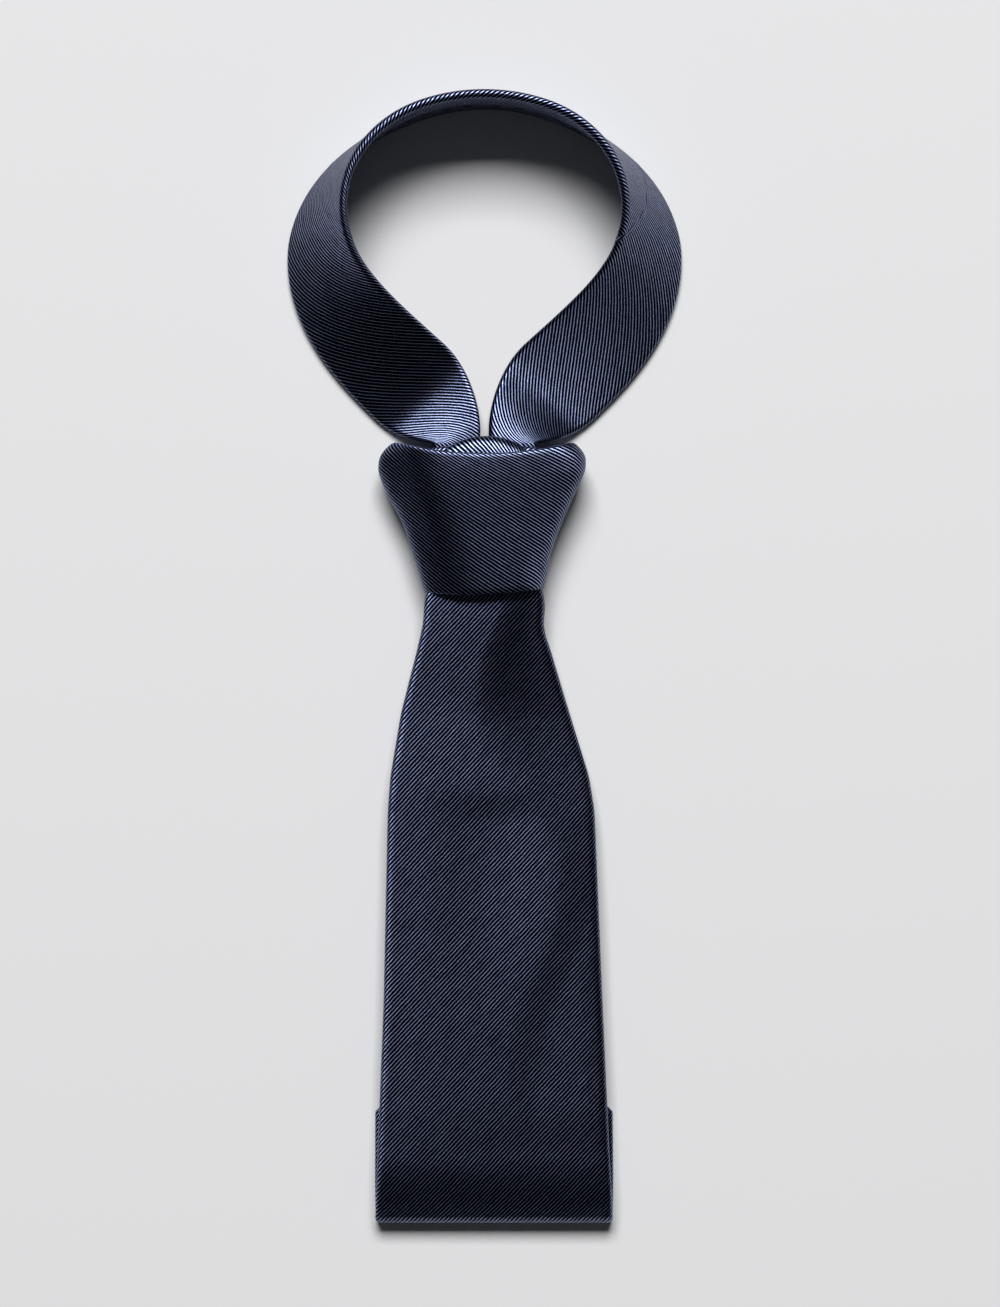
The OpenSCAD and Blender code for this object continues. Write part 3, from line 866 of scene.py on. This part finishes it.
def loop_xy(d):
    """Middle line of the left half of the loop, from the leg's end in the knot to the back."""
    t = np.clip((d - LEG_L) / SWEEP_L, 0, 1)
    p = ((-LEG_X, KNOT_HIGH), (-LEG_X, KNOT_HIGH + 16), (-NECK_RX, LOOP_Y - 34), (-NECK_RX, LOOP_Y))
    x, y = (sum(c * p[i][k] for i, c in enumerate(
        ((1 - t) ** 3, 3 * t * (1 - t) ** 2, 3 * t * t * (1 - t), t ** 3))) for k in (0, 1))
    a = (d - ARC_START) / ARC_L * math.pi / 2
    x = np.where(d < LEG_L, -LEG_X, np.where(d < ARC_START, x, -NECK_RX * np.cos(a)))
    y = np.where(d < LEG_L, LEG_Y + d, np.where(d < ARC_START, y, LOOP_Y + NECK_RY * np.sin(a)))
    return x, y


def band_half(d):
    """Half the band's width: it is gathered where it goes into the knot."""
    return (LEG_W + (NECK_W - LEG_W) * smooth((d - LEG_L + 4) / 38)) / 2


def loop_points(d, a, n):
    """Points at distance d along the loop, a across the band and n off its middle."""
    x0, y0 = loop_xy(d - 0.5)
    x1, y1 = loop_xy(d + 0.5)
    x, y = loop_xy(d)
    long = np.hypot(x1 - x0, y1 - y0)
    tx, ty = (x1 - x0) / long, (y1 - y0) / long
    tilt = math.pi / 2 * smooth((d - LEG_L - 6) / (LOOP_L - LEG_L - 26))
    c, s = np.cos(tilt), np.sin(tilt)
    half = band_half(d)
    standing = half * s + HALF * c
    falling = LEG_Z * (1 - smooth((d - LEG_L) / 44))
    z = (standing ** 4 + falling ** 4) ** 0.25
    ox, oy = -ty, tx
    px = x + a * c * ox + n * s * ox
    py = y + a * c * oy + n * s * oy
    pz = z - a * s + n * c
    return np.stack([px, py, np.maximum(pz, LEAST_Z)], -1)


def fold_over(points):
    """The same points on the other side of the tie."""
    return points * np.array([-1.0, 1.0, 1.0])


def band_grid(d, lean):
    """Distance along, across and off the band; lean slants the rows for the diagonal joins."""
    half = band_half(d)
    a, n = section(half, half, HALF, np.full(len(d), BLADE_LAP))
    return d[:, None] + lean[:, None] * a, a, n


def band_cloth(name, d, lean, node, body, mirrored=False, whole=False):
    dd, a, n = band_grid(d, lean)
    points = loop_points(np.minimum(dd, 2 * LOOP_L - dd) if whole else dd, a, n)
    if whole:
        points = np.where((dd > LOOP_L)[..., None], fold_over(points), points)
    if mirrored:
        points = fold_over(points)
        dd = 2 * LOOP_L - dd
    uv = cloth_uv(arc_across(np.stack([a, n], -1), a), dd, BLADE_RIBS, RIB_PITCH)
    obj = build(name, points, grid_faces(*a.shape, flip=mirrored), uv, TWILL)
    thicken(obj, CLOTH_T)
    finish_piece(obj, [node], body)


def loop_back(d):
    """A point on the edge of the band's upper flap and the way it faces, for any d round the loop."""
    near = d if d < LOOP_L else 2 * LOOP_L - d
    one = np.array([[near]])
    outer = loop_points(one, np.array([[BLADE_LAP]]), np.array([[-HALF]]))[0, 0]
    inner = loop_points(one, np.array([[BLADE_LAP]]), np.array([[0.0]]))[0, 0]
    out = (outer - inner) / np.linalg.norm(outer - inner)
    flip = np.array([1.0 if d < LOOP_L else -1.0, 1, 1])
    return outer * flip, out * flip


SEAM_LEAN = 0.85  # slant of the diagonal joins


def make_neck():
    t = np.linspace(0, 1, 96)
    lean = SEAM_LEAN * smooth((t - 0.6) / 0.4)
    side = t * SEAM_D
    band_cloth("left_band_cloth", side, lean, "blade_side_band_shell", "neck_loop")
    band_cloth("right_band_cloth", side, lean, "tail_side_band_shell", "neck_loop", True)
    t = np.linspace(0, 1, 88)
    d = SEAM_D + t * 2 * (LOOP_L - SEAM_D)
    lean = SEAM_LEAN * (smooth((0.35 - t) / 0.35) - smooth((t - 0.65) / 0.35))
    band_cloth("neck_cloth", d, lean, "neck_shell", "neck_loop", whole=True)


def make_neck_wool():
    d = np.linspace(3, 2 * LOOP_L - 3, 200)
    near = np.minimum(d, 2 * LOOP_L - d)
    half = band_half(near) - 1.7
    a, n = slab_section(half, half, WOOL_HALF)
    points = loop_points(spread(near, a), a, n)
    points = np.where((d > LOOP_L)[:, None, None], fold_over(points), points)
    uv = np.stack([a, spread(d, a)], -1)
    obj = build("neck_wool", points, closed_faces(*a.shape), uv, WOOL)
    finish_piece(obj, ["neck_interlining"], "neck_loop")


def make_seam(name, node, mirrored):
    """The join of two cut lengths: a low ridge of turned-in cloth across the band."""
    d = SEAM_D + np.array([-1.8, -1.2, -0.6, 0.0, 0.6, 1.2, 1.8])
    rise = np.array([-0.12, 0.0, 0.06, 0.08, 0.06, 0.0, -0.12])
    dd, a, n = band_grid(d, np.full(len(d), SEAM_LEAN))
    size = np.hypot(n, np.where(np.abs(n) < HALF - 0.01, 1.0, 0.0))
    swell = 1 + rise[:, None] / np.maximum(size, HALF)
    points = loop_points(dd, a * (1 + 0.004 * rise[:, None]), n * swell)
    if mirrored:
        points = fold_over(points)
    uv = cloth_uv(arc_across(np.stack([a, n], -1), a), dd, BLADE_RIBS, RIB_PITCH)
    obj = build(name, points, grid_faces(*a.shape, flip=mirrored), uv, TWILL)
    thicken(obj, 0.3)
    finish_piece(obj, [node], "neck_loop")


def make_neck_stitches():
    first = LEG_L + 14
    lines = dashes(loop_back, first, LOOP_L - 2) + dashes(loop_back, LOOP_L + 2, 2 * LOOP_L - first)
    obj = threads("neck_slip_stitches", lines, STITCH_R)
    finish_piece(obj, ["neck_slip_stitch"], "neck_loop")


make_neck()
make_neck_wool()
make_seam("left_join_ridge", "left_join_seam", False)
make_seam("right_join_ridge", "right_join_seam", True)
make_neck_stitches()


# ---- Knot ----

# [height above the lower edge, extent to the left, extent to the right, top of the cloth]
KNOT_OUTLINE = np.array([
    [-3, 20.0, 20.0, 21.2], [0, 20.7, 20.6, 21.6], [4, 21.8, 21.5, 21.9], [13, 24.6, 23.0, 22.3],
    [24, 28.2, 26.9, 22.8], [35, 34.2, 31.6, 23.4], [43, 37.2, 35.2, 23.9], [49, 36.4, 35.2, 24.2],
    [53, 32.0, 31.0, 24.3], [60, 24.0, 24.0, 23.8],
])
# [height above the lower edge, x of the ridge between the left facet and the face]
RIDGE_X = np.array([[0, -8.5], [13, -11.0], [24, -14.0], [37, -19.0], [53, -22.0]])
# [height above the lower edge, fall of the left facet]
FACET_DROP = np.array([[0, 5.6], [13, 6.6], [37, 9.0], [53, 8.0]])
WRAP_COLS = 84
FRONT_T = 3.4  # thickness of the knot's front and back turns
BACK_T = 2.2
TURN_IN = 9.0  # how far their pressed edges reach in


def b_spline(points, count):
    """Points (rows, n, 2) of a clamped cubic B-spline, evenly spaced along the curve."""
    first, last = points[:, :1], points[:, -1:]
    p = np.concatenate([first, first, points, last, last], axis=1)
    fine = []
    for i in range(p.shape[1] - 3):
        for t in np.linspace(0, 1, 12, endpoint=False):
            w = ((1 - t) ** 3 / 6, (3 * t ** 3 - 6 * t * t + 4) / 6,
                 (-3 * t ** 3 + 3 * t * t + 3 * t + 1) / 6, t ** 3 / 6)
            fine.append(sum(w[k] * p[:, i + k] for k in range(4)))
    fine = np.stack(fine + [p[:, -1]], axis=1)
    step = np.linalg.norm(np.diff(fine, axis=1), axis=2)
    run = np.concatenate([np.zeros((len(p), 1)), np.cumsum(step, axis=1)], axis=1)
    rows = []
    for curve, r in zip(fine, run):
        at = np.linspace(0, r[-1], count)
        rows.append(np.stack([np.interp(at, r, curve[:, 0]), np.interp(at, r, curve[:, 1])], -1))
    return np.array(rows)


def front_section(h):
    """The outer face of the knot's front at each height, as points (x, z) from left to right."""
    left = table(KNOT_OUTLINE, 1, h)
    right = table(KNOT_OUTLINE, 2, h)
    top = table(KNOT_OUTLINE, 3, h)
    ridge = table(RIDGE_X, 1, h)
    drop = table(FACET_DROP, 1, h)
    base = np.full_like(h, KNOT_SPLIT - 0.8)
    columns = [
        (-left + 0.5, base), (-left, base + 2), (-left, top - drop - 2.2), (-left + 1.6, top - drop + 0.2),
        (ridge - 0.50 * (left + ridge), top - drop * 0.50), (ridge - 3.5, top - 1.5), (ridge + 2, top - 0.2),
        (ridge + 8, top + 0.1), (0 * h + 6, top), (right * 0.5, top - 0.2), (right * 0.72, top - 0.5),
        (right - 3.6, top - 1.6), (right - 1.2, top - 4.2), (right + 0.1, top - 8.0),
        (right, base + 2), (right - 0.5, base),
    ]
    return b_spline(np.stack([np.stack(c, -1) for c in columns], axis=1), WRAP_COLS)


def back_section(h):
    """The outer face of the knot's back, from the right to the left."""
    left = table(KNOT_OUTLINE, 1, h) - 0.75
    right = table(KNOT_OUTLINE, 2, h) - 0.75
    base = np.full_like(h, KNOT_SPLIT + 0.6)
    lift = 0.4 + 0.45 * smooth((h - 44) / 12) + 0.3 * smooth((4 - h) / 6)
    columns = [
        (right - 0.4, base), (right, base - 2.5), (right - 0.4, lift + 3.2), (right - 2.4, lift + 0.5),
        (right - 7, lift), (right * 0.4, lift), (0 * h, lift), (-left * 0.4, lift), (-left + 7, lift),
        (-left + 2.4, lift + 0.5), (-left + 0.4, lift + 3.2), (-left, base - 2.5), (-left + 0.4, base),
    ]
    return b_spline(np.stack([np.stack(c, -1) for c in columns], axis=1), WRAP_COLS)


def outward(sections):
    """Unit normals of sections (rows, n, 2)."""
    d = np.gradient(sections, axis=1)
    normal = np.stack([-d[..., 1], d[..., 0]], -1)
    return normal / np.maximum(np.linalg.norm(normal, axis=2), 1e-6)[..., None]


def front_y(h, x):
    """The lower edge is a shallow curve, higher at its ends, and the top edge dips in the middle."""
    rise = -0.3 + 0.0028 * (x + 8) ** 2
    dip = -4.2 * np.clip(1 - (x / 31) ** 2, 0, 1)
    t = np.clip(h / KNOT_H, -0.1, 1.1)
    return KNOT_LOW + h + rise * (1 - t) ** 2 + dip * np.clip(t, 0, 1) ** 4


def band_rows(thick, turn_in, height, step):
    """(height, depth) rows of a pressed band: in behind the lower edge, over the face, in again."""
    r = thick / 2
    q = 0.55 * r
    turn = np.linspace(0, math.pi, 9, endpoint=False)
    rows = [(h, thick) for h in np.linspace(turn_in, q, 6, endpoint=False)]
    rows += [(q - q * math.sin(t), r + r * math.cos(t)) for t in turn]
    rows += [(h, 0) for h in np.linspace(q, height - q, int((height - thick) / step), endpoint=False)]
    rows += [(height - q + q * math.sin(t), r - r * math.cos(t)) for t in turn]
    rows += [(h, thick) for h in np.linspace(height - q, height - turn_in, 6)]
    return np.array(rows)


def wrap_piece(name, sections, sign, thick, node):
    """A turn of tie round the knot, with pressed edges."""
    rows = band_rows(thick, TURN_IN, KNOT_H, 1.25)
    h = rows[:, 0]
    curve = sections(h)
    normal = outward(curve)
    bent = curve - normal * rows[:, 1][:, None, None]
    y = front_y(h[:, None], bent[..., 0])
    points = np.stack([bent[..., 0], y, bent[..., 1]], -1)
    step = np.linalg.norm(np.diff(curve, axis=1), axis=2)
    run = np.concatenate([np.zeros((len(h), 1)), np.cumsum(step, axis=1)], axis=1)
    middle = np.array([np.interp(0, c[:, 0] * sign, r) for c, r in zip(curve, run)])
    across = (run - middle[:, None]) * sign
    along = np.concatenate([[0], np.cumsum(np.hypot(np.diff(h), np.diff(rows[:, 1])))])
    face = np.argmin(np.abs(h - KNOT_H / 2) + rows[:, 1] * 100)
    along = along - along[face] + h[face]
    uv = cloth_uv(across, spread(along, across), KNOT_RIBS, RIB_PITCH)
    obj = build(name, points, grid_faces(*across.shape, flip=True), uv, TWILL)
    thicken(obj, CLOTH_T)
    finish_piece(obj, [node], "knot")


def make_knot_wool():
    """The interlining inside the front turn."""
    h = np.linspace(2.2, KNOT_H - 2.2, 40)
    curve = front_section(h)[:, 4:-4]
    normal = outward(curve)
    shells = []
    for depth in (0.8, 2.2):
        bent = curve - normal * depth
        shells.append(np.stack([bent[..., 0], front_y(h[:, None], bent[..., 0]), bent[..., 1]], -1))
    points = np.concatenate([shells[0], shells[1][:, ::-1]], axis=1)
    uv = points[..., :2]
    faces = [f[::-1] for f in closed_faces(*points.shape[:2])]
    obj = build("knot_wool", points, faces, uv, WOOL)
    finish_piece(obj, ["knot_interlining"], "knot")


def ribbon_piece(name, path, across, half_w, half_t, node, bow=0.0):
    """A pressed length of tie swept along a path of points, with its sides drawn towards the blade."""
    count = len(path)
    normal = curve_frame(path, across)
    a, n = section(np.full(count, half_w), np.full(count, half_w), half_t, np.full(count, TAIL_LAP))
    points = path[:, None, :] + a[..., None] * across[:, None, :] + n[..., None] * normal[:, None, :]
    points[..., 1] -= bow * a ** 2
    run = np.concatenate([[0], np.cumsum(np.linalg.norm(np.diff(path, axis=0), axis=1))])
    uv = cloth_uv(arc_across(points, a), spread(run, a), BLADE_RIBS, RIB_PITCH)
    obj = build(name, points, grid_faces(*a.shape), uv, TWILL)
    thicken(obj, CLOTH_T)
    finish_piece(obj, [node], "knot")


def curve_frame(path, across):
    """Normals of a path whose across direction is given, with across x normal along the path."""
    tangent = np.gradient(path, axis=0)
    tangent /= np.linalg.norm(tangent, axis=1)[:, None]
    normal = np.cross(tangent, across)
    return normal / np.linalg.norm(normal, axis=1)[:, None]


def make_side_wrap(name, node, side):
    """A turn round one leg of the loop: it shows as a rolled edge at the knot's shoulder."""
    reach = 31.0 if side < 0 else 28.4
    control = np.array([[
        [4, 13.2], [14, 13.4], [22, 13.6], [reach - 1, 12.6],
        [reach, 9.0], [reach - 1.5, 5.2], [22, 4.6], [15, 4.6],
    ]])
    xz = b_spline(control.astype(float), 60)[0]
    path = np.stack([side * xz[:, 0], np.full(len(xz), KNOT_HIGH - 9.5), xz[:, 1]], -1)
    path[:, 1] -= 0.010 * np.clip(xz[:, 0] - 12, 0, None) ** 2
    across = np.tile([0, 1.0 * side, 0.0], (len(xz), 1))
    ribbon_piece(name, path, across, 8.0, 1.35, node)


def make_centre_pass():
    """The cloth that comes over the top of the knot between the legs and goes down behind the front."""
    control = np.array([[
        [38, 15.6], [52, 16.0], [66, 16.4], [73, 16.2], [76.2, 15.4], [77.3, 14.2], [76.6, 13.0],
    ]])
    control[..., 0] += KNOT_HIGH - 76
    yz = b_spline(control.astype(float), 48)[0]
    path = np.stack([np.full(len(yz), 0.5), yz[:, 0], yz[:, 1]], -1)
    across = np.tile([-1.0, 0.0, 0.0], (len(yz), 1))
    ribbon_piece("knot_centre_cloth", path, across, 14.0, 1.2, "knot_centre_pass", bow=0.022)


wrap_piece("knot_front_cloth", front_section, 1, FRONT_T, "knot_front_wrap")
wrap_piece("knot_back_cloth", back_section, -1, BACK_T, "knot_back_wrap")
make_knot_wool()
make_side_wrap("knot_left_roll", "knot_left_wrap", -1)
make_side_wrap("knot_right_roll", "knot_right_wrap", 1)
make_centre_pass()


# ---- Floor, lights and camera ----

FLOOR_M = 14.0  # half the floor's side
KEY_PLACE_M = (-0.2, 5.0, 6.4)  # one large soft light, beyond the loop
KEY_SIZE_M = (4.2, 3.2)
KEY_POWER = 820
CAMERA_PLACE_M = (0.0054, 0.00266, 1.6)
FRAME_HIGH_M = 0.4535  # what the camera sees from top to bottom
SENSOR = 36


def make_stage():
    mesh = bpy.data.meshes.new("floor")
    corners = [(x * FLOOR_M, y * FLOOR_M, 0) for x, y in ((-1, -1), (1, -1), (1, 1), (-1, 1))]
    mesh.from_pydata(corners, [], [(0, 1, 2, 3)])
    mesh.materials.append(make_floor())
    add_object("floor", mesh)


def make_lights():
    light = bpy.data.lights.new("key_box", "AREA")
    light.shape = "RECTANGLE"
    light.size, light.size_y = KEY_SIZE_M
    light.energy = KEY_POWER
    obj = add_object("key_box", light)
    obj.location = KEY_PLACE_M
    obj.rotation_euler = (-Vector(KEY_PLACE_M)).to_track_quat("-Z", "Y").to_euler()
    world = bpy.data.worlds.new("studio")
    bpy.context.scene.world = world
    world.use_nodes = True
    back = world.node_tree.nodes["Background"]
    back.inputs["Color"].default_value = (0.95, 0.97, 1.0, 1)
    back.inputs["Strength"].default_value = 0.04


def make_camera():
    """Straight above the tie; the frame's height is taken 0.6 of the way up to the knot's top."""
    camera = bpy.data.cameras.new("camera")
    camera.sensor_width = SENSOR
    camera.lens = SENSOR * (CAMERA_PLACE_M[2] - KNOT_TOP * MM * 0.6) / FRAME_HIGH_M
    camera.clip_end = 20
    obj = add_object("camera", camera)
    obj.location = CAMERA_PLACE_M
    bpy.context.scene.camera = obj


make_stage()
make_lights()
make_camera()
bpy.context.scene.view_settings.view_transform = "Standard"
